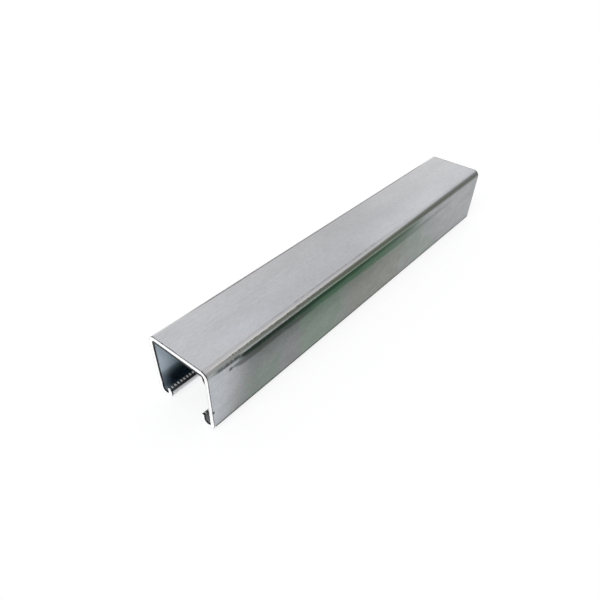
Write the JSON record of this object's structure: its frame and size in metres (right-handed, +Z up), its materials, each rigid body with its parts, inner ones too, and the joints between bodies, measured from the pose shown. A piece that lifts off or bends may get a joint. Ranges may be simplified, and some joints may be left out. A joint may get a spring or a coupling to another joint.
{
  "type": "strut channel section",
  "caption": "Short length of plain-backed steel strut channel: a square C section with two inturned, toothed lips either side of a slot.",
  "frame": {"origin": "mid-length, midway between the walls, on the plane that the curled edges of the lips rest on", "axes": "+Y along the section, +Z up from the lips to the web, +X across from wall to wall"},
  "size_m": [0.0412, 0.275, 0.0413],
  "materials": {
    "zinc_plated_steel": "bright zinc plate over rolled strip, bare saw-cut ends"
  },
  "bodies": {
    "root": {"strut_channel": "zinc_plated_steel"}
  },
  "joints": []
}
